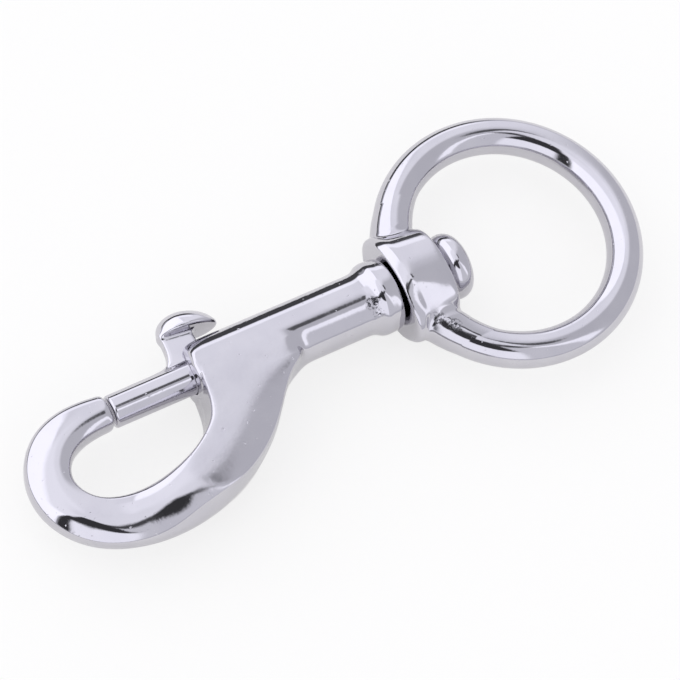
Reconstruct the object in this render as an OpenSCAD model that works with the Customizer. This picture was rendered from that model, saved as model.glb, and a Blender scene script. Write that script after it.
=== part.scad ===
// Swivel snap hook: a cast hook with a spring-loaded sliding bolt, and a ring that swivels on its
// riveted stud. The origin is the centre of the ring, on the swivel axis. +X runs along that axis
// from the hook to the ring, +Y is the thumb pad's side, and +Z is up from the flat of the hook.

/* [Ring] */
// Diameter of the ring's round bar
ring_bar = 6.4; // [5:0.1:8]
// Clear width inside the ring
ring_inner = 35; // [32:0.5:50]

/* [Hub] */
// Length of the hub along the swivel axis
hub_length = 9.4; // [8:0.1:12]
// Width of the hub's front end, across the ring
hub_front_width = 20; // [18:0.1:24]
// Height of the hub's front end
hub_front_height = 15.6; // [14:0.1:20]
// Width of the hub's rear end, across the ring
hub_rear_width = 17.6; // [15:0.1:22]
// Height of the hub's rear end
hub_rear_height = 13.4; // [12.6:0.1:18]
// Rounding of the hub's two rims
hub_round = 1.2; // [0.6:0.1:2]

/* [Swivel stud] */
// Diameter of the stud inside the hub
stud_dia = 6.6; // [5:0.1:8]
// Radial running clearance of the stud in the hub
stud_clearance = 0.08; // [0.03:0.01:0.1]
// Gap between the collar and the hub
collar_gap = 0.7; // [0.3:0.05:1]
// Gap between the hub and the riveted head
head_gap = 0.25; // [0.1:0.05:0.6]
// Diameter of the riveted head
head_dia = 11.8; // [10:0.1:14]
// Length of the riveted head
head_length = 4.6; // [3.5:0.1:7]
// Rounding of the head's outer rim
head_round = 2.2; // [1:0.1:3]
// Angle round which that rim is rounded before the crown's shallow cone
dome_angle = 75; // [60:1:85]

/* [Barrel] */
// Outer diameter of the barrel
barrel_dia = 11; // [9.6:0.1:13]
// Distance from the mouth of the barrel to the collar's rear face
barrel_length = 38; // [36:0.5:60]
// Rounding of the barrel's mouth
mouth_round = 1.6; // [0.5:0.1:2]
// Diameter of the collar
collar_dia = 13.4; // [12:0.1:15]
// Length of the collar
collar_length = 3.6; // [2.5:0.1:5]
// Length of the flare between barrel and collar
flare_length = 2.4; // [1.5:0.1:4]
// Angle round the collar's rim, from its top down to where the flare meets it
flare_angle = 30; // [20:1:45]
// Rounding of the collar's rims
collar_round = 0.8; // [0.3:0.1:1]

/* [Hook] */
// Gap that the bolt closes, from the barrel's mouth to the hook's tip
gate_gap = 15.1; // [13:0.1:17]
// Distance from the barrel's mouth to the middle of the nose bar
hook_reach = 29.6; // [28:0.1:40]
// Depth of the belly's middle line below the swivel axis
hook_drop = 19.2; // [17:0.1:25]
// Width of the bar at the tip
tip_width = 5.9; // [5:0.1:7]
// Width of the bar round the nose
nose_width = 7.7; // [6.5:0.1:9]
// Width of the bar at the belly
belly_width = 9.2; // [8:0.1:11]
// Width of the bar at the shoulder
shoulder_width = 11.2; // [10:0.1:13]
// Thickness of the bar at the tip
tip_thickness = 5.8; // [5:0.1:7]
// Thickness of the bar round the nose
nose_thickness = 7; // [6:0.1:9]
// Thickness of the bar at the belly
belly_thickness = 8.4; // [7:0.1:10]
// Thickness of the bar at the shoulder
shoulder_thickness = 9.8; // [8:0.1:11]
// Diameter of the gusset that fills the corner under the barrel's mouth
gusset_dia = 8.4; // [7:0.1:10]
// Depth of the gusset's low end below the swivel axis
gusset_drop = 8.6; // [6:0.1:10]
// Rounding of the tip's end
tip_round = 0.9; // [0.4:0.1:1.5]

/* [Bolt] */
// Diameter of the sliding bolt
bolt_dia = 5.7; // [5:0.1:6.5]
// Radial running clearance of the bolt in the barrel
bolt_clearance = 0.08; // [0.03:0.01:0.1]
// Gap between the closed bolt and the hook's tip
tip_gap = 0.4; // [0.2:0.05:0.8]
// How far the bolt slides back to open the gate
bolt_travel = 13; // [10:0.5:13.5]
// Length of the bolt held in the barrel when the gate is closed
bolt_grip = 11; // [8:0.5:14]
// Chamfer at the bolt's two ends
bolt_chamfer = 0.5; // [0.2:0.1:1]
// Thickness of the thumb pad's web
web_thickness = 2.6; // [2:0.1:3.4]
// Clearance on each side of the web in the barrel's slot
web_clearance = 0.3; // [0.15:0.05:0.6]
// Length of the web where it leaves the barrel
web_length = 5.6; // [4:0.1:7]
// Distance from the barrel's mouth back to the web's rear edge
web_setback = 4.2; // [3:0.1:5]
// Reach of the web's curved front foot along the bolt
web_foot = 6; // [3:0.5:8]
// Clearance between the barrel and the low end of the thumb pad
pad_clearance = 1.3; // [0.6:0.1:2.5]
// Length of the thumb pad
pad_length = 10.6; // [8:0.1:12]
// Width of the thumb pad
pad_width = 7.8; // [6:0.1:10]
// Height of the thumb pad's dome
pad_height = 3.9; // [2.5:0.1:5]
// Slope of the thumb pad down towards the barrel, in degrees
pad_slope = 7; // [0:1:8]

/* [Spring] */
// Diameter of the spring wire
wire_dia = 0.7; // [0.5:0.05:0.9]
// Number of turns of the spring
spring_turns = 8; // [6:1:9]
// Room left round the spring, and at each of its ends
spring_clearance = 0.12; // [0.05:0.01:0.2]

/* [Hidden] */
$fn = 64;
loft_sides = 28;
past = 1;                       // how far a cutting tool runs past the face that it opens

// Stations along the swivel axis, from the ring towards the hook
ring_radius = (ring_inner + ring_bar) / 2;
hub_front = -ring_radius - ring_bar / 2 - 0.1;
hub_rear = hub_front + hub_length;
head_front = hub_rear + head_gap;
head_rear = head_front + head_length;
collar_rear = hub_front - collar_gap;
collar_front = collar_rear - collar_length;
mouth = collar_rear - barrel_length;
tip_end = mouth - gate_gap;

// Bolt, bore and spring
bolt_r = bolt_dia / 2;
bore_r = bolt_r + bolt_clearance;
barrel_r = barrel_dia / 2;
bolt_front = tip_end + tip_gap;
bolt_rear = mouth + bolt_grip;
web_rear = mouth + web_setback;
web_front = web_rear - web_length;
slot_width = web_thickness + 2 * web_clearance;
slot_straight = web_rear + bolt_travel + web_clearance;   // the slot's round end starts past the web
spring_solid = spring_turns * wire_dia;
spring_length = bolt_travel + spring_solid + 1.6;
spring_front = bolt_rear + spring_clearance;
spring_rear = spring_front + spring_length;
bore_end = spring_rear + spring_clearance;
coil_radius = bore_r - spring_clearance - wire_dia / 2;
pad_base = barrel_r + pad_clearance;

// --- Curves and lofts -------------------------------------------------------------------------

// Point at fraction t between b and c of a smooth curve through a, b, c and d
function spline(a, b, c, d, t) =
    0.5 * ((2 * b) + (c - a) * t + (2 * a - 5 * b + 4 * c - d) * t * t
        + (3 * b - a - 3 * c + d) * t * t * t);

// Smooth curve through rows of numbers, with `steps` points between each two rows
function smooth(rows, steps) = let(last = len(rows) - 1) [
    for (i = [0 : last - 1], k = [0 : steps - 1])
        spline(rows[max(i - 1, 0)], rows[i], rows[i + 1], rows[min(i + 2, last)], k / steps),
    rows[last]];

// Points of a quarter arc about centre c, from angle a0 to a1
function arc(c, r, a0, a1, steps = 6) =
    [for (k = [0 : steps]) let(a = a0 + (a1 - a0) * k / steps) [c[0] + r * cos(a), c[1] + r * sin(a)]];

// Rounded section of half width w and half thickness h; power 2 is an ellipse, more is squarer
function oval(w, h, power) = [for (i = [0 : loft_sides - 1])
    let(a = 360 * (i + 0.5) / loft_sides, c = cos(a), s = sin(a))
    [w * sign(c) * pow(abs(c), 2 / power), h * sign(s) * pow(abs(s), 2 / power)]];

// Closed solid through a list of rings of points
module loft(rings) {
    sides = len(rings[0]);
    last = len(rings) - 1;
    polyhedron(
        points = [for (ring = rings, p = ring) p],
        faces = concat(
            [[for (i = [0 : sides - 1]) i]],
            [for (r = [0 : last - 1], i = [0 : sides - 1]) let(j = (i + 1) % sides, a = r * sides)
                each [[a + i, a + sides + i, a + j], [a + j, a + sides + i, a + sides + j]]],
            [[for (i = [sides - 1 : -1 : 0]) last * sides + i]]),
        convexity = 6);
}

// Solid of revolution about the X axis; the profile's points are [radius, x]
module turned(profile) {
    rotate([0, 90, 0]) rotate_extrude() polygon(profile);
}

// --- Hook body --------------------------------------------------------------------------------

// Middle line of the hook's bar: [share of hook_reach before the mouth, share of hook_drop below
// the axis, half width, half thickness], from behind the tip round to the inside of the barrel
hook_line = [
    [gate_gap / hook_reach, -0.01, tip_width / 2, tip_thickness / 2],
    [0.69, -0.01, (tip_width + nose_width) / 4, (tip_thickness + nose_thickness) / 4],
    [0.90, 0.12, nose_width / 2, nose_thickness / 2],
    [1.00, 0.44, nose_width / 2, nose_thickness / 2],
    [0.90, 0.80, nose_width / 2, nose_thickness / 2],
    [0.68, 0.97, (nose_width + belly_width) / 4, (nose_thickness + belly_thickness) / 4],
    [0.39, 0.99, belly_width / 2, belly_thickness / 2],
    [0.08, 0.84, (belly_width + shoulder_width) / 4, (belly_thickness + shoulder_thickness) / 4],
    [-0.17, 0.54, shoulder_width / 2, shoulder_thickness / 2],
    [-0.42, 0.19, barrel_dia / 2 - 0.6, barrel_dia / 2 - 0.5],
    [-0.69, 0.02, barrel_dia / 2 - 1, barrel_dia / 2 - 1]];
hook_path = [for (row = smooth(hook_line, 5))
    [mouth - row[0] * hook_reach, -row[1] * hook_drop, row[2], row[3]]];

// Ring i of the bar, square to the middle line, drawn in by `inset` and moved on by `ahead`
function bar_ring(i, inset = 0, ahead = 0) =
    let(a = hook_path[max(i - 1, 0)], b = hook_path[min(i + 1, len(hook_path) - 1)],
        run = [b[0] - a[0], b[1] - a[1]] / norm([b[0] - a[0], b[1] - a[1]]), p = hook_path[i])
    [for (q = oval(p[2] - inset, p[3] - inset, 2.3))
        [p[0] - run[1] * q[0] + run[0] * ahead, p[1] + run[0] * q[0] + run[1] * ahead, q[1]]];

// The tip's end is rounded by rings that draw in along a quarter arc
hook_rings = concat(
    [for (a = [90 : -30 : 30]) bar_ring(0, tip_round * (1 - cos(a)), tip_round * (1 - sin(a)))],
    [for (i = [1 : len(hook_path) - 1]) bar_ring(i)]);

// Barrel, collar, stud and riveted head as one turned profile
barrel_profile = concat(
    [[0, mouth]],
    arc([barrel_r - mouth_round, mouth + mouth_round], mouth_round, -90, 0),
    [[barrel_r, collar_front - flare_length]],
    arc([collar_dia / 2 - collar_round, collar_front + collar_round], collar_round, -flare_angle, 0, 2),
    arc([collar_dia / 2 - collar_round, collar_rear - collar_round], collar_round, 0, 90),
    [[stud_dia / 2, collar_rear], [stud_dia / 2, head_front], [head_dia / 2 - 0.4, head_front],
     [head_dia / 2, head_front + 0.4]],
    arc([head_dia / 2 - head_round, head_rear - head_round], head_round, 0, dome_angle),
    [[0, head_rear]]);

// Fills the corner between the barrel's mouth and the shoulder, down to the edge of the eye
module gusset() {
    hull() {
        translate([mouth + mouth_round / 2 + gusset_dia / 2, -barrel_r / 2, 0])
            sphere(d = gusset_dia, $fn = 32);
        translate([mouth - 0.6 + gusset_dia / 2, -gusset_drop, 0]) sphere(d = gusset_dia - 0.8, $fn = 32);
    }
}

module hook_body() {
    color("silver")
    difference() {
        union() {
            loft(hook_rings);
            turned(barrel_profile);
            gusset();
        }
        translate([mouth - past, 0, 0]) rotate([0, 90, 0])
            cylinder(r = bore_r, h = bore_end - mouth + past);
        translate([mouth - past, 0, -slot_width / 2])
            cube([slot_straight - mouth + past, barrel_r + past, slot_width]);
        translate([slot_straight, 0, 0]) rotate([-90, 0, 0])
            cylinder(d = slot_width, h = barrel_r + past);
    }
}

// --- Swivel ring ------------------------------------------------------------------------------

// Ring of the hub at fraction t from its front to its rear end, drawn in by `inset`
function hub_ring(x, inset) =
    let(t = (x - hub_front) / hub_length,
        w = hub_front_width + (hub_rear_width - hub_front_width) * t,
        h = hub_front_height + (hub_rear_height - hub_front_height) * t)
    [for (q = oval(w / 2 - inset, h / 2 - inset, 2)) [x, q[0], q[1]]];

module swivel_ring() {
    color("lightgray")
    difference() {
        union() {
            rotate_extrude() translate([ring_radius, 0]) circle(d = ring_bar);
            loft(concat(
                [for (a = [90 : -30 : 0])
                    hub_ring(hub_front + hub_round * (1 - sin(a)), hub_round * (1 - cos(a)))],
                [for (a = [0 : 30 : 90])
                    hub_ring(hub_rear - hub_round * (1 - sin(a)), hub_round * (1 - cos(a)))]));
        }
        translate([hub_front - past, 0, 0]) rotate([0, 90, 0])
            cylinder(r = stud_dia / 2 + stud_clearance, h = hub_length + 2 * past);
    }
}

// --- Bolt -------------------------------------------------------------------------------------

bolt_profile = [
    [0, bolt_front], [bolt_r - bolt_chamfer, bolt_front], [bolt_r, bolt_front + bolt_chamfer],
    [bolt_r, bolt_rear - bolt_chamfer], [bolt_r - bolt_chamfer, bolt_rear], [0, bolt_rear]];

// Side view of the web: a curved front from the bolt up to the pad, and a straight rear edge
web_top = pad_base + pad_height / 3;
web_side = concat(
    [[web_rear, 0], [web_rear, web_top], [web_front, web_top]],
    [for (k = [1 : 6]) let(a = 90 * k / 6)
        [web_front - web_foot * (1 - cos(a)), web_top - (web_top - bolt_r * 0.9) * sin(a)]],
    [[web_front - web_foot, 0]]);

// The pad's dome: level ovals that draw in towards the crown, which lies forward of the middle
pad_middle = web_front - 0.1 + pad_length / 2;
function pad_ring(level) =
    let(draw_in = sqrt(1 - level * level))
    [for (q = oval(pad_width / 2 * draw_in, pad_length / 2 * draw_in, 2))
        [q[1] - level * pad_length * 0.1, level * pad_height, q[0]]];

module thumb_pad() {
    translate([pad_middle, pad_base, 0]) rotate([0, 0, -pad_slope])
    translate([0, pad_length / 2 * sin(pad_slope), 0])
        loft([for (level = [0, 0.2, 0.4, 0.6, 0.75, 0.87, 0.95, 0.99]) pad_ring(level)]);
}

module latch_bolt() {
    color("gainsboro") {
        turned(bolt_profile);
        translate([0, 0, -web_thickness / 2]) linear_extrude(web_thickness) polygon(web_side);
        thumb_pad();
    }
}

// --- Spring -----------------------------------------------------------------------------------

wire_sides = 7;
turn_steps = 18;
function wire_ring(k) =
    let(a = 360 * k / turn_steps, total = spring_turns * turn_steps,
        x = spring_front + wire_dia / 2 + (spring_length - wire_dia) * k / total)
    [for (i = [0 : wire_sides - 1]) let(b = 360 * i / wire_sides, r = coil_radius + wire_dia / 2 * cos(b))
        [x + wire_dia / 2 * sin(b), r * cos(a), r * sin(a)]];

module bolt_spring() {
    color("darkgray")
    loft([for (k = [0 : spring_turns * turn_steps]) wire_ring(k)]);
}

hook_body();
swivel_ring();
latch_bolt();
bolt_spring();
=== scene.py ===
# %% [markdown]
# # A swivel snap hook in polished cast steel
# The hook with its barrel, and the ring with its hub, are castings: they were poured, tumbled and
# polished, so nothing on them meets at a sharp line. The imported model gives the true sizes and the
# moving bodies. This script dresses the hook, the ring and the bolt in one smooth skin each, winds the
# spring behind the bolt, gives all four their finish, and lights them.

# %% Load the frame
import math

import bpy
import numpy as np
from mathutils import Matrix, Vector


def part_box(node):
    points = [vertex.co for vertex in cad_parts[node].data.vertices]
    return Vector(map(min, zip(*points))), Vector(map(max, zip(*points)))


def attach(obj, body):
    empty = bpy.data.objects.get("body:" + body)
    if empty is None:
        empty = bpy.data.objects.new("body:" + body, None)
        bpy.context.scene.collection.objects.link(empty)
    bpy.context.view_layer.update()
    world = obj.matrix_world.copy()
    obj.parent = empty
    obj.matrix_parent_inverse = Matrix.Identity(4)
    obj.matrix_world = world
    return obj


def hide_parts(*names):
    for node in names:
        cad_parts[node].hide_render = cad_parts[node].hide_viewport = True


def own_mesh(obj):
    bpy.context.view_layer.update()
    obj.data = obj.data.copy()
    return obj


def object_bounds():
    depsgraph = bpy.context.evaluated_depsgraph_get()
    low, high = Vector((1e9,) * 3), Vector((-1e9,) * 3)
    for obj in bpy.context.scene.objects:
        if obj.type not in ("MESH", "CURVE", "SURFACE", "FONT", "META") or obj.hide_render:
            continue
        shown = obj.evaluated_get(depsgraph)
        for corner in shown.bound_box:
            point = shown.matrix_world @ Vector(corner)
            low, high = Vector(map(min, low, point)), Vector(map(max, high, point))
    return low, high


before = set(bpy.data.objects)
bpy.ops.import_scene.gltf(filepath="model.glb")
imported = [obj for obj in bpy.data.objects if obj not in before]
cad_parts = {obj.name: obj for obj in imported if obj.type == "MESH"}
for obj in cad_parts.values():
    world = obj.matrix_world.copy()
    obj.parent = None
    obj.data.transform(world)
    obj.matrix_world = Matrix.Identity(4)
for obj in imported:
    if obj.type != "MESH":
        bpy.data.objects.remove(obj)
cad_low, cad_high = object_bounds()
print("CAD box in mm:", [round(1000 * v, 1) for v in (*cad_low, *cad_high)])

# %% [markdown]
# Every place along the swivel axis follows from the frame's boxes, as on the real object: the ring
# starts where the hub starts, the collar stops just short of the hub, and the bolt reaches from the
# hook's tip into the barrel. Millimetres are easier to read here, so meshes are shrunk at the end.

# %% Sizes in millimetres
MM = 0.001


def box_mm(node):
    low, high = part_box(node)
    return np.array(low) / MM, np.array(high) / MM


ring_low, ring_high = box_mm("swivel_ring")
hook_low, hook_high = box_mm("hook_body")
bolt_low, bolt_high = box_mm("latch_bolt")
spring_low, spring_high = box_mm("bolt_spring")

BAR_RADIUS = 3.2                       # the ring's round bar
RING_RADIUS = ring_high[0] - BAR_RADIUS
HUB_FRONT = ring_low[0]
HUB_REAR = HUB_FRONT + 9.4
STUD_RADIUS = 3.3
HEAD_RADIUS = 5.9
HEAD_FRONT = HUB_REAR + 0.25           # the hub runs free between head and collar
HEAD_REAR = hook_high[0]
COLLAR_REAR = HUB_FRONT - 0.7
COLLAR_FRONT = COLLAR_REAR - 3.6
COLLAR_RADIUS = 6.7
BARREL_RADIUS = 5.5
MOUTH = COLLAR_REAR - 38               # the barrel's open end
BOLT_RADIUS = 2.85
CLEARANCE = 0.08                       # the bolt in its bore, and the hub on its stud
BORE_RADIUS = BOLT_RADIUS + CLEARANCE
BORE_END = spring_high[0] + 0.12
TIP_END = bolt_low[0] - 0.4            # the closed bolt stops just short of the hook's tip
WEB_THICKNESS = 2.6                    # the web carries the thumb pad
WEB_REAR = MOUTH + 4.2
WEB_FRONT = WEB_REAR - 5.6
SLOT_WIDTH = WEB_THICKNESS + 0.6
SLOT_END = WEB_REAR + 14.9
print(f"ring radius {RING_RADIUS:.2f}, mouth at {MOUTH:.2f}, tip ends at {TIP_END:.2f}")

# %% [markdown]
# ## A smooth skin from a distance field
# Blends between a bar, a barrel and a plate are hard to model by hand, and a subdivision surface
# pinches where they meet. A distance field has no such trouble: each simple form is a function that
# says how far a point is from its surface, less than zero inside, and a smooth minimum joins two of
# them with a fillet. The skin is then the surface where the joined function is zero.
#
# The smooth minimum has one habit to know: where two forms lie flush, it lifts the surface by a sixth
# of the fillet. A flat face is therefore trimmed again after a join.

# %% Joining forms


def join(a, b, fillet):
    """The two forms together, with a fillet of about that size where they meet."""
    near = np.maximum(fillet - np.abs(a - b), 0) / fillet
    return np.minimum(a, b) - near ** 3 * fillet / 6


def cut(a, b, rounding):
    """Form a without form b, with the new edge rounded off."""
    return -join(-a, b, rounding)


def trim(a, b, rounding):
    """What forms a and b have in common."""
    return -join(-a, -b, rounding)


def ramp(value, start, end):
    """0 at the start, 1 at the end and even between them, whichever of the two is larger."""
    return np.clip((value - start) / (end - start), 0, 1)


print(f"two flush faces joined with a 3 mm fillet rise by {-join(0.0, 0.0, 3.0):.2f} mm")

# %% Simple forms
NEVER_ZERO = 1e-6                      # keeps a division safe at a form's very middle


def rounded_box(offsets, halves, rounding):
    """Distance to a box, or in two dimensions a rectangle, with rounded edges."""
    outside = [np.abs(o) - h + rounding for o, h in zip(offsets, halves)]
    length = np.sqrt(sum(np.maximum(o, 0) ** 2 for o in outside))
    return length + np.minimum(np.maximum.reduce(outside), 0) - rounding


def rod(x, y, z, start, end, radius, rounding):
    """Round rod along the swivel axis."""
    return rounded_box((x - (start + end) / 2, np.hypot(y, z)), ((end - start) / 2, radius), rounding)


def capsule(x, y, start, end, radius):
    """Distance in the plane to a strip with round ends."""
    start, end = np.array(start), np.array(end)
    run = end - start
    share = np.clip(((x - start[0]) * run[0] + (y - start[1]) * run[1]) / (run @ run), 0, 1)
    return np.hypot(x - start[0] - share * run[0], y - start[1] - share * run[1]) - radius


def oval(y, z, across, upright, power=2.0):
    """Distance to an endless oval rod along the axis, near enough for joining."""
    reach = np.hypot(y, z) + NEVER_ZERO
    level = (np.abs(y / across) ** power + np.abs(z / upright) ** power) ** (1 / power) + NEVER_ZERO
    return np.where(reach < 0.3, -6, reach * (1 - 1 / level))


print("rod of radius 5 seen from 7 mm off its axis:", rod(0.0, 7.0, 0.0, -9, 9, 5, 1), "mm away")

# %% [markdown]
# ## From field to mesh
# To turn a field into faces, space is cut into small cubes. Each cube that the surface crosses gets one
# point, and neighbouring points are joined into squares.

# %% Points and squares


def crossings(values):
    """How many edges of each cube the surface crosses, and the crossings' places added up."""
    total = np.zeros(np.array(values.shape) - 1)
    place = np.zeros((*total.shape, 3))
    corner = [slice(0, -1), slice(1, None)]
    for axis in range(3):
        others = [a for a in range(3) if a != axis]
        for j in (0, 1):
            for k in (0, 1):
                near, far = [None] * 3, [None] * 3
                near[axis], far[axis] = corner
                near[others[0]] = far[others[0]] = corner[j]
                near[others[1]] = far[others[1]] = corner[k]
                a, b = values[tuple(near)], values[tuple(far)]
                crossed = (a < 0) != (b < 0)
                total += crossed
                place[..., axis] += np.where(crossed, a / np.where(crossed, a - b, 1), 0)
                place[..., others[0]] += crossed * j
                place[..., others[1]] += crossed * k
    return total, place


def squares_between(inside, number):
    """The square round each grid edge that the surface crosses, turned to face outwards."""
    squares = []
    for axis in range(3):
        u, v = [(1, 2), (2, 0), (0, 1)][axis]
        near, far = [slice(1, -1)] * 3, [slice(1, -1)] * 3
        near[axis], far[axis] = slice(0, -1), slice(1, None)
        a, b = inside[tuple(near)], inside[tuple(far)]
        at = np.argwhere(a != b)
        at[:, [u, v]] += 1
        round_edge = []
        for du, dv in ((-1, -1), (0, -1), (0, 0), (-1, 0)):
            cube = at.copy()
            cube[:, u] += du
            cube[:, v] += dv
            round_edge.append(number[tuple(cube.T)])
        round_edge = np.stack(round_edge, 1)
        leaving = a[a != b]
        squares.append(np.where(leaving[:, None], round_edge, round_edge[:, ::-1]))
    return np.concatenate(squares)


def skin_points(field, low, high, cell):
    """One point for each cube that the surface crosses, and the squares between them."""
    counts = np.ceil((high - low) / cell).astype(int) + 1
    axes = [low[i] + cell * np.arange(counts[i]) for i in range(3)]
    values = field(*np.meshgrid(*axes, indexing="ij"))
    total, place = crossings(values)
    used = total > 0
    number = np.full(total.shape, -1)
    number[used] = np.arange(used.sum())
    points = low + cell * (np.argwhere(used) + place[used] / total[used][:, None])
    return points, squares_between(values < 0, number)


def ball(x, y, z):
    return np.sqrt(x * x + y * y + z * z) - 5


points, squares = skin_points(ball, np.full(3, -6.0), np.full(3, 6.0), 1.0)
print("a 5 mm ball on 1 mm cubes gets", len(points), "points and", len(squares), "squares")

# %% [markdown]
# The points are then slid along the field's slope until they lie on the surface, and the slope itself
# gives each point its normal. That is what makes a polished surface read as polished: reflections
# follow the normals, not the facets.

# %% The finished skin
SLIDES = 4                             # times that the points are slid


def slope(field, points, step=0.01):
    """Direction in which the field grows fastest, and how fast, at each point."""
    grad = np.empty_like(points)
    for axis in range(3):
        shift = np.zeros(3)
        shift[axis] = step
        grad[:, axis] = (field(*(points + shift).T) - field(*(points - shift).T)) / (2 * step)
    size = np.linalg.norm(grad, axis=1, keepdims=True) + 1e-9
    return grad / size, size[:, 0]


def make_skin(name, field, low, high, cell):
    """Smooth mesh object of the surface where the field is zero."""
    margin = 2 * cell
    points, squares = skin_points(field, low - margin, high + margin, cell)
    for _ in range(SLIDES):
        normal, size = slope(field, points)
        away = np.clip(field(*points.T) / size, -cell, cell)
        points = points - normal * away[:, None]
    normal, _ = slope(field, points)
    mesh = bpy.data.meshes.new(name)
    mesh.from_pydata((points * MM).tolist(), [], squares.tolist())
    mesh.polygons.foreach_set("use_smooth", np.ones(len(squares), bool))
    mesh.normals_split_custom_set_from_vertices(normal.tolist())
    piece = bpy.data.objects.new(name, mesh)
    bpy.context.collection.objects.link(piece)
    print(f"{name}: {len(points)} points, {len(squares)} squares,",
          "box in mm", points.min(0).round(2), points.max(0).round(2))
    return piece


normal, _ = slope(ball, np.array([[3.0, 4.0, 0.0]]))
print("the ball's normal at 3, 4, 0 is", normal[0].round(3))

# %% [markdown]
# ## The hook's bar
# The bar starts round at the tip, goes round the nose, and grows into a broad flat plate at the
# shoulder, which runs out along the barrel. It is one section that travels along a middle line while
# its width, its thickness, its squareness and the slope of its outer edge change. The line needs
# curvature that changes without a jump, or the reflections on the polished bar would break, so a
# natural cubic spline runs through the stations.

# %% A spline through stations


def cubic_spline(rows, samples):
    """Natural cubic spline through rows of numbers, spaced by the length between their points."""
    rows = np.array(rows, float)
    knots = np.concatenate([[0], np.cumsum(np.linalg.norm(np.diff(rows[:, :2], axis=0), axis=1))])
    gap = np.diff(knots)
    count = len(knots)
    system = np.eye(count)
    known = np.zeros_like(rows)
    for i in range(1, count - 1):
        system[i, i - 1:i + 2] = gap[i - 1], 2 * (gap[i - 1] + gap[i]), gap[i]
        known[i] = 6 * ((rows[i + 1] - rows[i]) / gap[i] - (rows[i] - rows[i - 1]) / gap[i - 1])
    bend = np.linalg.solve(system, known)
    at = np.linspace(0, knots[-1], samples)
    i = np.clip(np.searchsorted(knots, at, side="right") - 1, 0, count - 2)
    a = ((knots[i + 1] - at) / gap[i])[:, None]
    b = 1 - a
    pull = (a ** 3 - a) * bend[i] + (b ** 3 - b) * bend[i + 1]
    return a * rows[i] + b * rows[i + 1] + pull * (gap[i] ** 2 / 6)[:, None]


arch = cubic_spline([(0, 0), (1, 1), (2, 0)], 5)
print("a spline over an arch passes", arch.round(2).tolist())

# %% The bar's middle line
REACH, DROP = 29.6, 19.2      # from the mouth to the nose's middle, and from the axis to the belly's
STATIONS = [  # reach, drop (as shares), half width, half thickness, squareness, lean, facet's tilt
    (-(TIP_END - MOUTH) / REACH, -0.01, 2.95, 2.9, 2.1, 0.00, 66),
    (0.69, -0.01, 3.4, 3.05, 2.2, 0.15, 62),
    (0.90, 0.12, 3.85, 3.1, 2.4, 0.30, 56),
    (0.999, 0.44, 3.84, 3.1, 2.5, 0.38, 52),
    (0.90, 0.80, 3.85, 3.15, 3.1, 0.38, 33),
    (0.68, 0.97, 4.2, 3.3, 2.7, 0.36, 48),
    (0.39, 0.99, 4.6, 5.1, 2.8, 0.40, 62),
    (0.08, 0.84, 5.1, 7.8, 3.6, 0.20, 82),
    (-0.17, 0.54, 5.6, 9.0, 4.0, 0.05, 86),
    (-0.42, 0.19, 4.9, 8.0, 4.0, 0.00, 86),
    (-0.69, 0.02, 4.5, 5.0, 3.4, 0.00, 86),
]
SAMPLES = 1600
LEAD, STEP = 4, 0.05          # the line runs straight on past the tip, where the end is then cut square

line = cubic_spline([(MOUTH - u * REACH, -v * DROP, *sizes) for u, v, *sizes in STATIONS], SAMPLES)
steps = np.arange(0, LEAD, STEP)
ahead = np.column_stack([TIP_END + LEAD - steps, np.full(len(steps), line[0, 1])])
ahead = np.column_stack([ahead, np.tile(line[0, 2:], (len(steps), 1))])
line = np.concatenate([ahead, line])
line_x, line_y, half_width, half_thickness, squareness, lean, facet_tilt = line.T
line_length = np.concatenate([[0], np.cumsum(np.hypot(np.diff(line_x), np.diff(line_y)))])
run_x = np.gradient(line_x, line_length)
run_y = np.gradient(line_y, line_length)
print(f"middle line {line_length[-1]:.1f} mm long")

# %% [markdown]
# For any point, the nearest place on the middle line is found first roughly, among every eighth sample,
# and then by sliding along the line.

# %% The nearest place on the line
COARSE = 8
BATCH = 20000                 # points looked at together, to spare memory


def on_line(at, row):
    """What a row of the line says at these lengths along it."""
    return np.interp(at, line_length, row)


def nearest_on_line(x, y):
    """Length along the middle line at which it comes nearest to each point."""
    coarse = slice(None, None, COARSE)
    at = np.empty_like(x)
    for start in range(0, len(x), BATCH):
        part = slice(start, start + BATCH)
        gap = (x[part, None] - line_x[coarse]) ** 2 + (y[part, None] - line_y[coarse]) ** 2
        at[part] = line_length[coarse][gap.argmin(1)]
    for _ in range(SLIDES):
        along = (x - on_line(at, line_x)) * on_line(at, run_x)
        along = along + (y - on_line(at, line_y)) * on_line(at, run_y)
        at = np.clip(at + along, 0, line_length[-1])
    return at


nose = nearest_on_line(np.array([MOUTH - REACH]), np.array([-DROP / 2]))
print(f"the nose lies {nose[0]:.1f} mm along the line")

# %% [markdown]
# In the plane, the plate's outline is the bar's two edges together with a gusset that fills the corner
# below the barrel's mouth. The shoulder ends at its top inside the barrel, and at its rear in a
# slanting edge.

# %% The bar in the plane
GUSSET = (MOUTH + 5.0, -1.5), (MOUTH + 3.9, -8.6), 4.6     # a strip's two ends and its radius
GUSSET_FILLET = 3.0
SHOULDER_LENGTH = 24          # how much of the line's end lies in the shoulder
SHOULDER_TOP = 0.3
REAR_POINT, REAR_FACING = (-45.2, -4.0), (0.82, 0.57)      # the slanting edge
TIP_LENGTH, TIP_LOW = 12, -6  # the square cut at the tip spares the rest of the bar
FAR_INSIDE = -50              # a distance at which a form cuts nothing
SOFTNESS = 1.0


def soft_above_zero(value, softness):
    """The value where it is above zero and zero below, without a corner."""
    return -join(-value, 0, softness)


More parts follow.
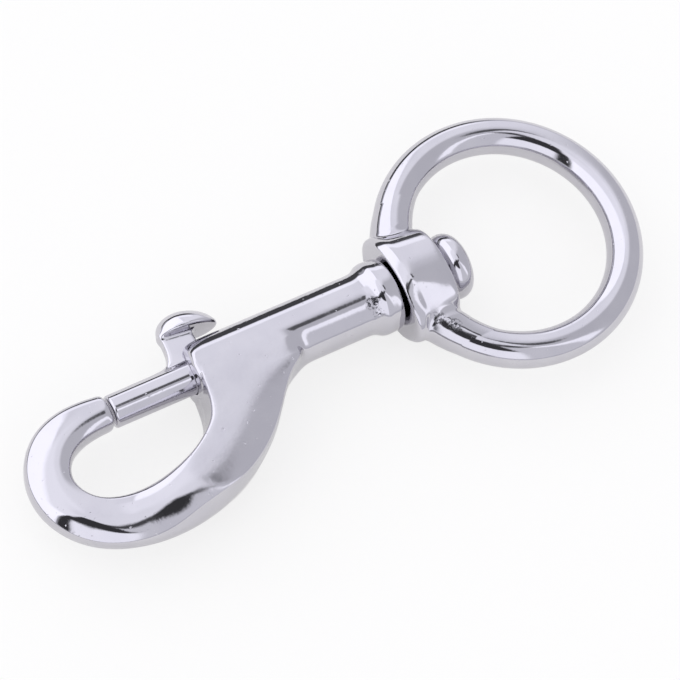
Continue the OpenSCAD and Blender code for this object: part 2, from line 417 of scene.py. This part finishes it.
def plan_of_bar(x, y):
    """All that the bar's section takes from its place in the plane."""
    at = nearest_on_line(x, y)
    dx, dy = x - on_line(at, line_x), y - on_line(at, line_y)
    outward = dx * on_line(at, run_y) - dy * on_line(at, run_x)
    side = np.hypot(dx, dy)
    wide = on_line(at, half_width)
    outline = join(side - wide, capsule(x, y, *GUSSET), GUSSET_FILLET)
    on_shoulder = at > line_length[-1] - SHOULDER_LENGTH
    outline = np.where(on_shoulder, trim(outline, y - SHOULDER_TOP, 0.2), outline)
    grown = soft_above_zero(wide + outline, SOFTNESS) - soft_above_zero(side, SOFTNESS)
    across = outward + grown * outward / np.sqrt(outward ** 2 + SOFTNESS ** 2)
    across += on_line(at, lean) * wide * np.clip(1 - (across / wide) ** 2, 0, 1)
    rear = REAR_FACING[0] * (x - REAR_POINT[0]) + REAR_FACING[1] * (y - REAR_POINT[1])
    behind = np.where(on_shoulder, rear, FAR_INSIDE)
    beyond = np.where((at < TIP_LENGTH) & (y > TIP_LOW), x - TIP_END, FAR_INSIDE)
    thick, power, tilt = (on_line(at, row) for row in (half_thickness, squareness, facet_tilt))
    return across, outward - wide, outline, wide, thick, power, tilt, behind, beyond


print("shoulder on the last", SHOULDER_LENGTH, "mm of the line")

# %% [markdown]
# Across the bar the section is an oval, from round at the tip to nearly square at the shoulder. Its
# crest lies nearer the bar's inner edge, as hand polishing leaves it, and a facet is ground along the
# outer edge. Where the bar outgrows the barrel, the oval is cut off flush with the barrel's crest. That
# cut is the broad flat of the plate. It has a slight crown towards its outer edge, and the polisher's
# wheel has rounded its rim over more towards the nose and along the belly.

# %% Distance to the bar
PLATE_FACE = BARREL_RADIUS    # height of the plate's face, flush with the barrel's crest
OVERSIZE = 1.1                # the oval is a little wider than the bar, and the outline cuts its sides
DRAFT = 0.06                  # lean of the side walls for each millimetre from the mould's seam
CROWN_RADIUS = 25
CROWN_START, CROWN_END = 1.5, 9       # where across the plate the crown starts and how wide it gets
EDGE = 1.25                   # height over the seam at which the facet along the outer edge starts
FACET_REACH = 3.5


def bar(x, y, z):
    """The hook's bar and shoulder plate, with the tip cut square and rounded."""
    if x.ndim == 3:           # on a whole grid the plan is worked out once for each of its columns
        parts = plan_of_bar(x[:, :, 0].ravel(), y[:, :, 0].ravel())
        parts = [part.reshape((*x.shape[:2], 1)) for part in parts]
    else:
        parts = plan_of_bar(x, y)
    across, outer, outline, wide, thick, power, tilt, behind, beyond = parts
    height = np.abs(z)
    reach = np.hypot(across, z) + NEVER_ZERO
    level = np.abs(across / wide / OVERSIZE) ** power + (height / thick) ** power
    level = level ** (1 / power) + NEVER_ZERO
    distance = np.where(level < 0.1, -wide, reach * (1 - 1 / level))
    crown = np.clip(outer + wide + CROWN_START, 0, CROWN_END) ** 2 / (2 * CROWN_RADIUS)
    face = height - PLATE_FACE + crown * ramp(y, -5, -11)
    distance = trim(distance, face, 0.5 + 1.2 * ramp(x, -62, -70))
    rounding = 0.7 + 0.6 * ramp(x, -74, -66) * ramp(y, -4, -8)
    distance = trim(distance, outline + DRAFT * height, rounding)
    facet = outer * np.sin(np.radians(tilt)) + (height - EDGE) * np.cos(np.radians(tilt))
    distance = trim(distance, np.where(outer > -FACET_REACH, facet, -3), 0.5)
    distance = trim(distance, behind, 4.0)
    return trim(distance, beyond, 1.2)


below = bar(np.array([MOUTH]), np.array([-9.0]), np.array([0.0]))
print(f"a point 9 mm below the mouth is {-below[0]:.1f} mm deep in the shoulder")

# %% [markdown]
# ## The hook body
# The barrel, collar, stud and riveted head are turned forms on one axis. The barrel's crest is flush
# with the plate that it grows out of, and a soft fillet fills the corner behind the shoulder. Polishing
# has left the barrel a touch fuller along a line between its crest and the thumb slot, on either face,
# which gathers its reflections into thin bands. Its mouth is rounded over on the thumb pad's side. The
# collar swells out of the barrel. The bore and the thumb slot are then cut, with their edges just
# broken, as a tumbled casting has them.

# %% The turned forms
FULLNESS = 0.021              # what the barrel gains along that line, as a share of its radius
FULL_START, FULL_LINE, FULL_END = 34, 49, 80               # degrees round from crest to slot
COLLAR_TAPER = 0.12
CORNER_FILLET = 3.4


def barrel_form(x, y, z):
    around = np.degrees(np.arctan2(y, np.abs(z)))
    swell = ramp(around, FULL_START, FULL_LINE) ** 2 * ramp(around, FULL_END, FULL_LINE) ** 1.5
    fuller = 1 + FULLNESS * swell
    barrel = rod(x, y / fuller, z / fuller, MOUTH, COLLAR_REAR, BARREL_RADIUS, 1.0)
    return trim(barrel, MOUTH - x, 0.3 + 4.5 * ramp(y, 0, 4))


def collar_form(x, y, z):
    collar = rod(x, y, z, COLLAR_FRONT, COLLAR_REAR + 2, COLLAR_RADIUS, 1.7)
    collar = trim(collar, np.hypot(y, z) - COLLAR_RADIUS + COLLAR_TAPER * (x - COLLAR_FRONT), 1.5)
    return trim(collar, x - COLLAR_REAR, 0.5)


def stud_form(x, y, z):
    stud = rod(x, y, z, COLLAR_REAR - 1, HEAD_FRONT + 1, STUD_RADIUS, 0.2)
    head = rod(x, y, z, HEAD_FRONT, HEAD_REAR, HEAD_RADIUS, 2.2)
    return join(stud, head, 0.4)


print(f"barrel {COLLAR_FRONT - MOUTH:.1f} mm long in front of its collar")

# %% The hook's skin
FINE_CELL, COARSE_CELL = 0.2, 0.32    # sides of the cubes, in millimetres


def hook_field(x, y, z):
    corner = ramp(x, -56, -47) * ramp(y, 1, -2)
    body = join(bar(x, y, z), barrel_form(x, y, z), 0.1 + CORNER_FILLET * corner)
    body = trim(body, np.abs(z) - PLATE_FACE, 0.2)
    body = join(body, collar_form(x, y, z), 3.0)
    body = join(body, stud_form(x, y, z), 0.4)
    bore = rod(x, y, z, MOUTH - 5, BORE_END, BORE_RADIUS, 0.3)
    slot_middle = (MOUTH - 5 + SLOT_END) / 2
    slot = rounded_box((x - slot_middle, y - 5, z), (SLOT_END - slot_middle, 5, SLOT_WIDTH / 2), 0.8)
    return cut(cut(body, bore, 0.5), slot, 0.5)


hook = make_skin("hook_skin", hook_field, hook_low, hook_high, COARSE_CELL)

# %% [markdown]
# ## The ring and its hub
# Ring and hub are one casting: a round bar bent round, with a tapering drum at its root that is wider
# across the ring than it is high. A flat is ground along the drum's lower side, its front edge is
# chamfered down to a thin flange that faces the collar, and the ring's arms grow a little stouter where
# they leave it. The drum's bore turns on the hook's stud.

# %% The hub
DRUM_WIDE, DRUM_HIGH, DRUM_POWER = 9.3, 7.55, 2.25         # half sizes at its front, and squareness
CHEEK = math.radians(25)      # tilt of the flat
CHEEK_HIGH, CHEEK_LOW = 7.3, 1.7      # where it starts, above and beside the swivel axis
FLANGE_WIDE, FLANGE_HIGH, FLANGE_THICKNESS = 10.2, 6.4, 1.9


def hub_forms(x, y, z):
    """The drum and the flange in front of it."""
    from_front = x - HUB_FRONT
    along = np.clip(from_front / (HUB_REAR - HUB_FRONT), -0.2, 1.2)
    drum = oval(y, z, DRUM_WIDE - 1.0 * along, DRUM_HIGH - 0.8 * along, DRUM_POWER)
    above = np.abs(z) - CHEEK_HIGH + 0.5 * along
    beside = y + CHEEK_LOW + 1.6 * along
    drum = trim(drum, above * math.cos(CHEEK) - beside * math.sin(CHEEK), 0.5)
    drum = trim(drum, x - HUB_REAR, 1.6)
    chamfer = oval(y, z, 8.6 + 0.5 * from_front, 6.7 + 0.5 * from_front, DRUM_POWER)
    flange = trim(oval(y, z, FLANGE_WIDE, FLANGE_HIGH), from_front - FLANGE_THICKNESS, 1.3)
    return trim(drum, chamfer, 1.0), flange


print(f"hub {HUB_REAR - HUB_FRONT:.1f} mm long, drum {2 * DRUM_WIDE:.1f} mm wide")

# %% The ring's skin
STOUTER = 0.55                # what the bar's radius gains at its roots


def ring_field(x, y, z):
    drum, flange = hub_forms(x, y, z)
    flare = STOUTER * ramp(np.abs(y), 14.5, 9.5) * ramp(x, -6, -12)
    round_bar = np.hypot(np.hypot(x, y) - RING_RADIUS, z) - BAR_RADIUS - flare
    whole = join(join(drum, round_bar, 1.2), flange, 1.1)
    whole = trim(whole, HUB_FRONT - x, 0.5 + 1.5 * ramp(np.abs(y), 6.5, 9.0))
    bore = rod(x, y, z, HUB_FRONT - 5, HUB_REAR + 5, STUD_RADIUS + CLEARANCE, 0.3)
    return cut(whole, bore, 0.4)


ring = make_skin("ring_skin", ring_field, ring_low, ring_high, COARSE_CELL)

# %% [markdown]
# ## The bolt
# The sliding bolt is a plain rod. A flat web rises from it through the slot in the barrel and carries
# the domed thumb pad. The web's front runs down onto the rod in a long curve, so a thumb that slips off
# the pad meets no corner. The pad's dome leans forward, and its flat underside comes down a little
# towards the rear.

# %% The thumb pad
PAD_LENGTH, PAD_WIDTH, PAD_HEIGHT = 10.6, 7.8, 3.9
PAD_SLOPE = math.radians(7)
PAD_LEAN = 0.1                # how far the dome's top leans, as a share of the pad's length
PAD_MIDDLE = WEB_FRONT - 0.1 + PAD_LENGTH / 2
PAD_UNDERSIDE = BARREL_RADIUS + 1.3 + PAD_LENGTH / 2 * math.sin(PAD_SLOPE)


def thumb_pad(x, y, z):
    along, up = x - PAD_MIDDLE, y - PAD_UNDERSIDE
    along, up = (along * math.cos(PAD_SLOPE) - up * math.sin(PAD_SLOPE),
                 along * math.sin(PAD_SLOPE) + up * math.cos(PAD_SLOPE))
    leaning = along + PAD_LEAN * PAD_LENGTH * ramp(up, 0, PAD_HEIGHT)
    reach = np.sqrt(leaning ** 2 + up ** 2 + z ** 2) + NEVER_ZERO
    shares = (leaning / (PAD_LENGTH / 2)) ** 2 + (up / PAD_HEIGHT) ** 2 + (z / (PAD_WIDTH / 2)) ** 2
    dome = np.where(reach < 0.3, -3, reach * (1 - 1 / (np.sqrt(shares) + NEVER_ZERO)))
    return trim(dome, -up, 0.9)


print(f"pad's underside {PAD_UNDERSIDE - BARREL_RADIUS:.1f} mm off the barrel")

# %% The bolt's skin
SHAFT_LENGTH = 11             # how far the rod reaches into the barrel
WEB_FOOT = 2.2                # height at which the web's front meets the rod
WEB_CURVE = 7.0               # the long curve down to it
WEB_MIDDLE, WEB_HALF = 4.5, 4


def bolt_field(x, y, z):
    shaft = rod(x, y, z, bolt_low[0], MOUTH + SHAFT_LENGTH, BOLT_RADIUS, 0.5)
    post = rounded_box((x - (WEB_FRONT + WEB_REAR) / 2, y - 4), ((WEB_REAR - WEB_FRONT) / 2, 6), 0.5)
    web = trim(join(y - WEB_FOOT, post, WEB_CURVE), x - WEB_REAR, 0.5)
    web = trim(web, WEB_FRONT - 8 - x, 0.5)
    web = trim(web, np.abs(y - WEB_MIDDLE) - WEB_HALF, 0.5)
    web = trim(web, np.abs(z) - WEB_THICKNESS / 2, 0.9)
    return join(join(shaft, web, 1.0), thumb_pad(x, y, z), 1.2)


bolt = make_skin("bolt_skin", bolt_field, bolt_low, bolt_high, FINE_CELL)

# %% [markdown]
# ## The spring
# A spring repeats one turn along its axis, which is what Geometry Nodes are for. The tree draws a
# spiral, sweeps the wire's circle along it and turns it to lie along the barrel. Its sizes are named
# inputs, so the same tree makes a stiffer or a longer spring.

# %% The spring's tree
POINTS_PER_TURN, POINTS_ROUND_WIRE = 28, 12

tree = bpy.data.node_groups.new("coil spring", "GeometryNodeTree")
tree.interface.new_socket("Geometry", in_out="INPUT", socket_type="NodeSocketGeometry")
tree.interface.new_socket("Geometry", in_out="OUTPUT", socket_type="NodeSocketGeometry")
spring_inputs = {}
for label, kind in (("Wire Radius", "NodeSocketFloat"), ("Coil Radius", "NodeSocketFloat"),
                    ("Turns", "NodeSocketFloat"), ("Length", "NodeSocketFloat"),
                    ("Material", "NodeSocketMaterial")):
    spring_inputs[label] = tree.interface.new_socket(label, in_out="INPUT", socket_type=kind).identifier
given = tree.nodes.new("NodeGroupInput")
result = tree.nodes.new("NodeGroupOutput")
spiral = tree.nodes.new("GeometryNodeCurveSpiral")
spiral.inputs["Resolution"].default_value = POINTS_PER_TURN
circle = tree.nodes.new("GeometryNodeCurvePrimitiveCircle")
circle.inputs["Resolution"].default_value = POINTS_ROUND_WIRE
sweep = tree.nodes.new("GeometryNodeCurveToMesh")
sweep.inputs["Fill Caps"].default_value = True
turn = tree.nodes.new("GeometryNodeTransform")
turn.inputs["Rotation"].default_value = (0, math.radians(90), 0)
smooth = tree.nodes.new("GeometryNodeSetShadeSmooth")
realize = tree.nodes.new("GeometryNodeRealizeInstances")
painted = tree.nodes.new("GeometryNodeSetMaterial")
for start, socket, end, target in (
        (given, "Coil Radius", spiral, "Start Radius"), (given, "Coil Radius", spiral, "End Radius"),
        (given, "Turns", spiral, "Rotations"), (given, "Length", spiral, "Height"),
        (given, "Wire Radius", circle, "Radius"), (spiral, "Curve", sweep, "Curve"),
        (circle, "Curve", sweep, "Profile Curve"), (sweep, "Mesh", turn, "Geometry"),
        (turn, "Geometry", smooth, "Geometry"), (smooth, "Geometry", realize, "Geometry"),
        (realize, "Geometry", painted, "Geometry"), (given, "Material", painted, "Material"),
        (painted, "Geometry", result, "Geometry")):
    tree.links.new(start.outputs[socket], end.inputs[target])
print("spring tree:", len(tree.nodes), "nodes")

# %% The spring itself
WIRE_RADIUS = 0.35
COIL_RADIUS = BORE_RADIUS - 0.12 - WIRE_RADIUS             # the coil clears the bore's wall
TURNS = 8.0


def grow(name, node_tree, inputs, values):
    """Runs a node tree on an empty mesh and keeps the result as a plain mesh object."""
    holder = bpy.data.objects.new(name + "_maker", bpy.data.meshes.new(name + "_maker"))
    bpy.context.collection.objects.link(holder)
    modifier = holder.modifiers.new("make", "NODES")
    modifier.node_group = node_tree
    for label, value in values.items():
        modifier[inputs[label]] = value
    evaluated = holder.evaluated_get(bpy.context.evaluated_depsgraph_get())
    mesh = bpy.data.meshes.new_from_object(evaluated)
    mesh.name = name
    holder.modifiers.remove(modifier)
    bpy.data.objects.remove(holder)
    piece = bpy.data.objects.new(name, mesh)
    bpy.context.collection.objects.link(piece)
    return piece


spring_length = spring_high[0] - spring_low[0]
spring_material = bpy.data.materials.new("spring_wire")
spring = grow("spring_coil", tree, spring_inputs, {
    "Wire Radius": WIRE_RADIUS * MM,
    "Coil Radius": COIL_RADIUS * MM,
    "Turns": TURNS,
    "Length": (spring_length - 2 * WIRE_RADIUS) * MM,
    "Material": spring_material,
})
spring.data.transform(Matrix.Translation(Vector(((spring_low[0] + WIRE_RADIUS) * MM, 0, 0))))
wound = np.array([v.co for v in spring.data.vertices]) / MM
print("spring from", wound.min(0).round(2), "to", wound.max(0).round(2))
print("in its place from", spring_low.round(2), "to", spring_high.round(2))

# %% [markdown]
# ## Writing shaders as sums
# A material is a chain of small sums: noise times a strength, plus a constant. A small class wraps a
# node's output so that Python's own signs build the Math nodes, and one method adds any other node.

# %% Shader arithmetic


class Wire:
    """Output of a shader node that can be added, multiplied and so on."""

    def __init__(self, nodes, socket):
        self.nodes = nodes
        self.socket = socket

    def node(self, kind, settings=None, output=0, **sockets):
        """New node of this kind: its settings first, then values or wires for its sockets."""
        added = self.nodes.nodes.new(kind)
        for key, value in (settings or {}).items():
            setattr(added, key, value)
        for key, value in sockets.items():
            place = int(key[1:]) if key[1:].isdigit() and key[0] == "i" else key.replace("_", " ")
            if isinstance(value, Wire):
                self.nodes.links.new(value.socket, added.inputs[place])
            else:
                added.inputs[place].default_value = value
        return Wire(self.nodes, added.outputs[output] if added.outputs else None)

    def math(self, operation, *others):
        sockets = {f"i{i}": v for i, v in enumerate((self, *others))}
        return self.node("ShaderNodeMath", {"operation": operation}, **sockets)

    def vector(self, operation, *others, output=0):
        sockets = {f"i{i}": v for i, v in enumerate((self, *others))}
        return self.node("ShaderNodeVectorMath", {"operation": operation}, output, **sockets)

    def __add__(self, other):
        return self.math("ADD", other)

    def __mul__(self, other):
        return self.math("MULTIPLY", other)

    def __sub__(self, other):
        return self.math("SUBTRACT", other)

    def __rsub__(self, other):
        return self.node("ShaderNodeMath", {"operation": "SUBTRACT"}, i0=other, i1=self)

    __radd__ = __add__
    __rmul__ = __mul__

    def between(self, low, high):
        """0 below low, 1 above high, and smooth between them."""
        settings = {"interpolation_type": "SMOOTHSTEP"}
        return self.node("ShaderNodeMapRange", settings, Value=self, From_Min=low, From_Max=high)

    def mix(self, first, second):
        """First colour where this is 0, second where it is 1."""
        settings = {"data_type": "RGBA"}
        return self.node("ShaderNodeMix", settings, 2, i0=self, i6=first, i7=second)


print("shader arithmetic ready")

# %% Helpers for materials
CORE = 0.4                    # share of a spot's radius over which it has its full strength


def new_material(material):
    """Gives a material an empty tree. Returns a wire of its Object coordinates and its shader."""
    material.use_nodes = True
    nodes = material.node_tree
    nodes.nodes.clear()
    shader = nodes.nodes.new("ShaderNodeBsdfPrincipled")
    output = nodes.nodes.new("ShaderNodeOutputMaterial")
    nodes.links.new(shader.outputs["BSDF"], output.inputs["Surface"])
    places = Wire(nodes, None).node("ShaderNodeTexCoord", output="Object")
    return places, shader


def feed(shader, **sockets):
    """Sets a shader's sockets to values or wires."""
    for key, value in sockets.items():
        socket = shader.inputs[key.replace("_", " ")]
        if isinstance(value, Wire):
            value.nodes.links.new(value.socket, socket)
        else:
            socket.default_value = value


def noise(places, per_mm, detail):
    """Noise with about this many lumps to a millimetre."""
    return places.node("ShaderNodeTexNoise", Vector=places, Scale=per_mm / MM, Detail=detail)


def spot(places, middle, radius, fade=1.0):
    """1 round a middle given in millimetres, fading out to 0 at the radius times fade."""
    middle = tuple(part * MM for part in middle)
    away = places.vector("DISTANCE", middle, output="Value")
    return 1 - away.between(CORE * radius * MM, fade * radius * MM)


def paint(piece, material):
    piece.data.materials.clear()
    piece.data.materials.append(material)


print("material helpers ready")

# %% [markdown]
# ## Polished stainless steel
# Steel takes its whole look from what it reflects, so its colour is nearly white and only a little
# blue. What tells a casting from a turned bar is how the reflections break up: the surface keeps a very
# low waviness from the wax and the tumbling, and small pits that the polish could not reach.
#
# Two kinds of places differ. The broad plate is ground on a belt and stays a little satin, so it
# mirrors the room softly. At the collar's front and at the ring's lower root no wheel gets in: the
# casting's crust is left there as small dark marks. They lie on both faces of the casting, so their
# height is measured either way from the seam.

# %% The steel
STEEL = (0.61, 0.60, 0.635)
WORN_STEEL = (0.58, 0.57, 0.61)
BLACK_CRUST = (0.05, 0.05, 0.06, 1)
GRAIN = 0.000005              # height of the finest grain, in metres as all heights here
CRUST = 0.00005               # and of the crust
DULL_PITS, DULL_GROUND, DULL_SPOTS, DULL_MARKS = 0.3, 0.13, 0.08, 0.3


def mirrored_height(places):
    """Object coordinates with the height taken either way from the seam."""
    above = places.node("ShaderNodeSeparateXYZ", output="Z", Vector=places.vector("ABSOLUTE"))
    ahead = places.node("ShaderNodeSeparateXYZ", output="X", Vector=places)
    across = places.node("ShaderNodeSeparateXYZ", output="Y", Vector=places)
    return places.node("ShaderNodeCombineXYZ", X=ahead, Y=across, Z=above)


def steel(name, roughness, waviness, pitting, rough_spots=(), ground=(), shine=1.0):
    """Polished cast steel. A rough spot is x, y, height and radius, and a ground patch x, y, radius."""
    material = bpy.data.materials.new(name)
    places, shader = new_material(material)
    broad = noise(places, 0.18, 2.0)
    fine = noise(places, 1.3, 4.0)
    pits = noise(places, 1.6, 1.0).between(0.72, 0.80)
    dull = pits * DULL_PITS
    height = broad * waviness + fine * GRAIN - pits * pitting
    tints = [(*(shine * part for part in tint), 1) for tint in (STEEL, WORN_STEEL)]
    colour = broad.between(0.3, 0.7).mix(*tints)
    for x, y, radius in ground:
        patch = spot(places.vector("MULTIPLY", (1, 1, 0)), (x, y, 0), radius, 1.1)
        dull = dull + patch * DULL_GROUND
        height = height + fine * patch * GRAIN
    if rough_spots:
        folded = mirrored_height(places)
        rough, *others = (spot(folded, middle, radius) for *middle, radius in rough_spots)
        for other in others:
            rough = rough.math("MAXIMUM", other)
        crust = noise(places, 2.4, 3.0)
        marks = rough * crust.between(0.48, 0.55)
        dull = dull + rough * DULL_SPOTS + marks * DULL_MARKS
        height = height + crust * rough * CRUST
        colour = marks.mix(colour, BLACK_CRUST)
    feed(shader,
         Base_Color=colour,
         Metallic=1.0,
         Roughness=fine * 0.04 + (dull + roughness - 0.02),
         Normal=height.node("ShaderNodeBump", Strength=1.0, Distance=1.0, Height=height))
    print(name, "has", len(material.node_tree.nodes), "nodes")
    return material


# %% Finish of each piece
ROUGH_COLLAR = [(-29.6, -2.4, 5.2, 1.6), (-29.4, -4.4, 4.4, 1.3)]
ROUGH_ROOT = [(-20.2, -9.2, 4.5, 1.8), (-18.2, -11.2, 4.2, 1.8)]
GROUND_PLATE = [(-69, -18, 6), (-58, -10, 12)]
DARK_WIRE, BRIGHT_WIRE = (0.50, 0.50, 0.53, 1), (0.62, 0.62, 0.64, 1)

paint(hook, steel("hook_steel", roughness=0.05, waviness=0.00002, pitting=0.00002,
                  rough_spots=ROUGH_COLLAR, ground=GROUND_PLATE))
paint(ring, steel("ring_steel", roughness=0.07, waviness=0.00001, pitting=0.00001,
                  rough_spots=ROUGH_ROOT))
paint(bolt, steel("bolt_steel", roughness=0.05, waviness=0.00001, pitting=0.00001, shine=1.04))
places, shader = new_material(spring_material)
grain = noise(places, 2, 3.0)
feed(shader, Base_Color=grain.mix(DARK_WIRE, BRIGHT_WIRE), Metallic=1.0, Roughness=grain * 0.2 + 0.2)
print("spring wire has", len(spring_material.node_tree.nodes), "nodes")

# %% [markdown]
# ## Bodies
# Each skin stands for one imported node and moves with that node's body, so the bolt slides and the ring
# turns without any fitting. The spring sits in the hook but has to shorten as the bolt comes back; only
# the length it would keep with the bolt drawn back is worked out here.

# %% Hand each piece to its body
TRAVEL = 13.0                 # how far the bolt is drawn back

for piece, node, body, slot in (
        (hook, "hook_body", "hook", "polished_steel"),
        (ring, "swivel_ring", "ring", "polished_steel"),
        (bolt, "latch_bolt", "bolt", "polished_steel"),
        (spring, "bolt_spring", "hook", "spring_steel")):
    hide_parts(node)
    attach(piece, body)
    print(piece.name, "stands for", node, "and rides on", body)

shortest = 1 - TRAVEL / spring_length
spring_high[0] * MM
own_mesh(spring)
print(f"spring {spring_length:.1f} mm long, {shortest * spring_length:.1f} mm with the bolt drawn back")

# %% [markdown]
# ## The table
# The hook lies on a pale table. Polished metal shows the room more than the lamps, so the room is what
# is built here, with a plain floor below. The floor is brightened for the eye, and less so for what the
# steel mirrors, so that its shadow stays and the undersides of the metal keep their grey. The table
# ends a hand's breadth beyond the ring, on the thumb pad's side. Past that edge the steel mirrors the
# dark room below, and that draws thin dark lines along the barrel and the ring.

# %% Floor
FLOOR = cad_low[2] - 0.0001
TABLE_REACH, TABLE_EDGE = 2.5, 0.10
PALE, PALER = (0.95, 0.94, 0.89, 1), (0.97, 0.96, 0.91, 1)
WHITE = (1, 1, 1, 1)
WHITE_SEEN, WHITE_MIRRORED = 0.75, 0.35                    # how much of the floor is made plain white


def make_floor():
    mesh = bpy.data.meshes.new("table")
    corners = [(-TABLE_REACH, -TABLE_REACH), (TABLE_REACH, -TABLE_REACH),
               (TABLE_REACH, TABLE_EDGE), (-TABLE_REACH, TABLE_EDGE)]
    mesh.from_pydata([(x, y, FLOOR) for x, y in corners], [], [(0, 1, 2, 3)])
    floor = bpy.data.objects.new("table", mesh)
    bpy.context.collection.objects.link(floor)
    return floor


floor = make_floor()
table_material = bpy.data.materials.new("pale_table")
places, shader = new_material(table_material)
feed(shader, Base_Color=noise(places, 0.4, 3.0).mix(PALE, PALER), Roughness=0.9)
lit = Wire(table_material.node_tree, shader.outputs["BSDF"])
white = lit.node("ShaderNodeEmission", Color=WHITE, Strength=1.0)
seen = lit.node("ShaderNodeLightPath", output="Is Camera Ray")
mirrored = lit.node("ShaderNodeLightPath", output="Is Glossy Ray")
mirrored = mirrored + lit.node("ShaderNodeLightPath", output="Is Transmission Ray")
share = seen * WHITE_SEEN + mirrored * WHITE_MIRRORED
whitened = lit.node("ShaderNodeMixShader", i0=share, i1=lit, i2=white)
table_output = table_material.node_tree.nodes["Material Output"]
table_material.node_tree.links.new(whitened.socket, table_output.inputs["Surface"])
paint(floor, table_material)
print(f"floor at {FLOOR / MM:.2f} mm")

# %% [markdown]
# ## The room
# The room is painted onto the world's sphere as soft-edged panels, each given by its bearing and height
# in degrees, as seen from the hook. A large white sheet hangs on one side and a smaller one behind the
# camera, with a low strip of light near the far wall. The gaps between them and the camera itself stay
# dark. Those gaps draw the thin black lines that make metal look polished, and a room of even light
# would make it look like grey paint.

# %% World
ROOM_TINT = (1.0, 1.0, 1.08)
REST_OF_ROOM = 0.84
ROOM = [  # bearing from, to, height from, to, brightness, softness of its sides, and of its ends
    (-50, 46, 0, 90, 0.69, 30, 6),        # the far wall
    (35, 82, 5, 90, 1.10, 25, 6),         # its brighter end
    (56, 84, 10, 22, 1.40, 8, 4),         # a low strip of light
    (-200, 200, 74, 99, 1.09, 1, 8),      # the ceiling
    (80, 196, 6, 64, 1.55, 6, 6),         # the large white sheet
    (60, 200, 60, 80, 1.22, 20, 10),      # and its glow above
    (-147, -95, 7, 50, 1.27, 6, 6),       # the small sheet behind the camera
    (-97, -60, 4, 70, 0.82, 8, 10),       # the wall beside it
    (-59, -47, 14, 74, 1.36, 5, 10),      # a bright strip
    (-154, -97, 50, 79, 0.05, 6, 5),      # the camera and whoever holds it
    (-163, -149, 12, 64, 0.05, 5, 6),     # the gap beside the small sheet
    (-105, -42, 72, 80, 0.09, 12, 5),     # the gaps under the ceiling
    (-20, 28, 68, 75, 0.13, 12, 3),
    (-180, -120, -2, 9, 0.40, 10, 4),     # the low dark band round the table
    (-120, -40, 0, 6, 0.68, 10, 4),
    (55, 128, -18, 7, 0.08, 16, 4),
    (98, 180, 0, 7, 0.50, 8, 4),
]


def tinted(brightness):
    return tuple(brightness * part for part in ROOM_TINT) + (1,)


def hang(light, bearing, height, panel):
    """The room's light with one more panel hung in it."""
    left, right, low, high, brightness, soft_side, soft_end = panel
    away = (bearing - (left + right) / 2).math("WRAP", 180.0, -180.0).math("ABSOLUTE")
    half = (right - left) / 2
    inside = 1 - away.between(half - soft_side / 2, half + soft_side / 2)
    inside = inside * height.between(low - soft_end / 2, low + soft_end / 2)
    inside = inside * (1 - height.between(high - soft_end / 2, high + soft_end / 2))
    return inside.mix(light, tinted(brightness))


world = bpy.data.worlds.new("studio")
bpy.context.scene.world = world
world.use_nodes = True
world.node_tree.nodes.clear()
air = Wire(world.node_tree, None)
direction = air.node("ShaderNodeTexCoord", output="Generated")
across, along, above = (
    air.node("ShaderNodeSeparateXYZ", output=axis, Vector=direction) for axis in "XYZ")
bearing = along.math("ARCTAN2", across) * math.degrees(1)
height = above.math("ARCSINE") * math.degrees(1)
light = tinted(REST_OF_ROOM)
for panel in ROOM:
    light = hang(light, bearing, height, panel)
seen = air.node("ShaderNodeLightPath", output="Is Camera Ray")
room = air.node("ShaderNodeBackground", Color=seen.mix(light, WHITE), Strength=1.0)
air.node("ShaderNodeOutputWorld", Surface=room)
print("world has", len(world.node_tree.nodes), "nodes and", len(ROOM), "panels")

# %% [markdown]
# ## The camera
# The camera stands half a metre off and looks down steeply over the hook's nose and belly. It is rolled
# a little, so that the hook climbs across the picture. A long lens keeps the ring's oval true.

# %% Camera
AZIMUTH, ELEVATION, ROLL = math.radians(-48.76), math.radians(62.64), math.radians(21.9)
AIM = Vector((-0.0361, -0.0043, 0))
DISTANCE = 0.5035
LENS, SENSOR = 158.8, 36

back = Vector((math.sin(AZIMUTH) * math.cos(ELEVATION), -math.cos(AZIMUTH) * math.cos(ELEVATION),
               math.sin(ELEVATION)))
level = Vector((math.cos(AZIMUTH), math.sin(AZIMUTH), 0))
steep = back.cross(level)
right = level * math.cos(ROLL) + steep * math.sin(ROLL)
up = back.cross(right)
camera = bpy.data.objects.new("camera", bpy.data.cameras.new("camera"))
bpy.context.collection.objects.link(camera)
camera.data.lens = LENS
camera.data.sensor_width = SENSOR
turned_axes = Matrix((right, up, back)).transposed().to_4x4()
camera.matrix_world = Matrix.Translation(AIM + back * DISTANCE) @ turned_axes
bpy.context.scene.camera = camera
bpy.context.scene.view_settings.view_transform = "Standard"
print("camera at", [round(v, 4) for v in camera.matrix_world.translation])
